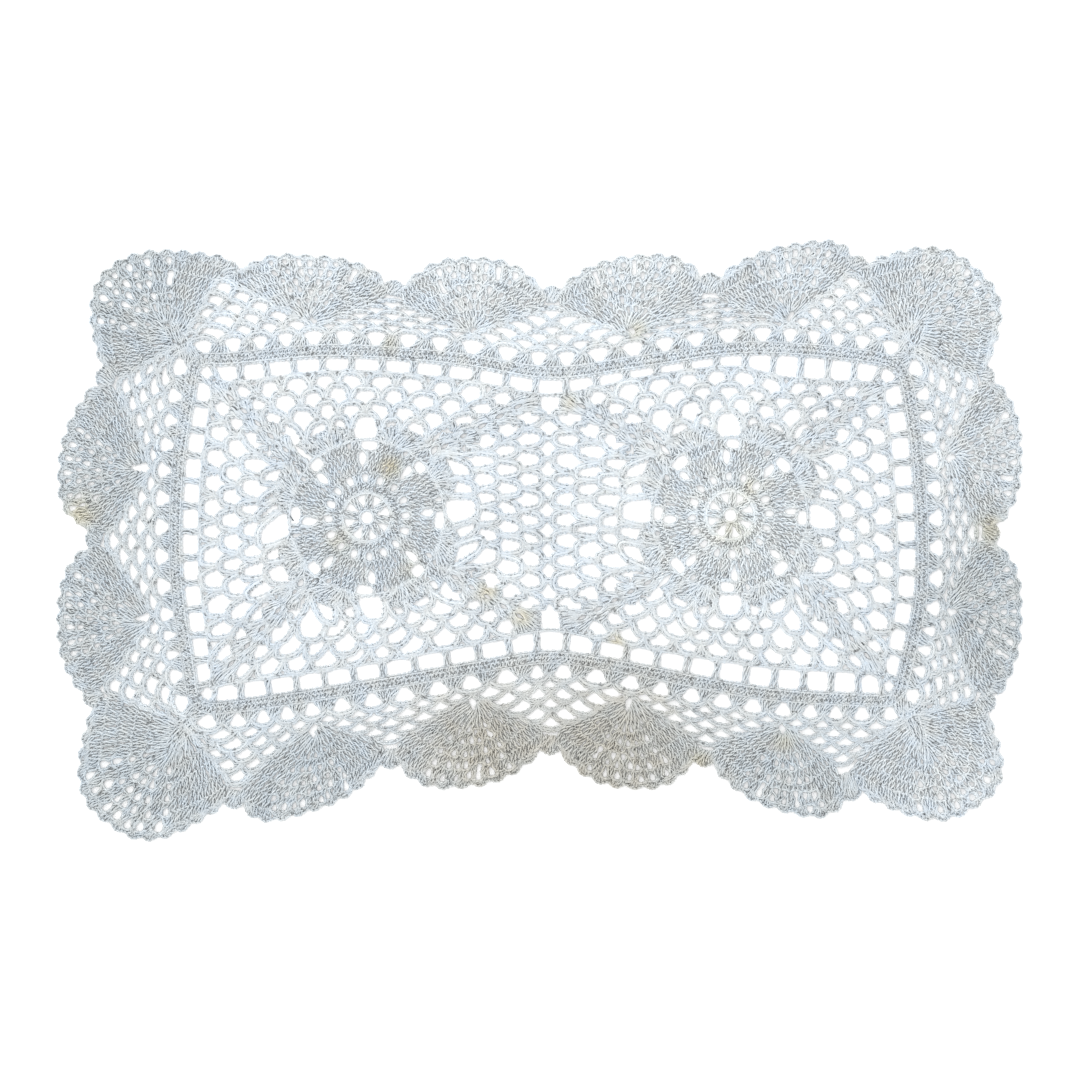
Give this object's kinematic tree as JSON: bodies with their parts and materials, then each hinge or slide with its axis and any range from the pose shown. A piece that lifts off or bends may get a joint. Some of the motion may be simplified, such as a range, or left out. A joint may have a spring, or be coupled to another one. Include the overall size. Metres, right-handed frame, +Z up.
{
  "type": "crochet doily",
  "caption": "Rectangular openwork cotton table mat: petalled medallions in loop net, a pinched waist, a round of open spaces, a solid band and a border of scalloped fan shells",
  "frame": {"origin": "middle of the mat's footprint, on its underside", "axes": "+X along the length from the left medallion to the right one, +Y across the width, +Z up out of the face"},
  "size_m": [0.4506, 0.281, 0.0022],
  "materials": {
    "cotton": "matte"
  },
  "bodies": {
    "root": {"doily": "cotton"}
  },
  "joints": []
}
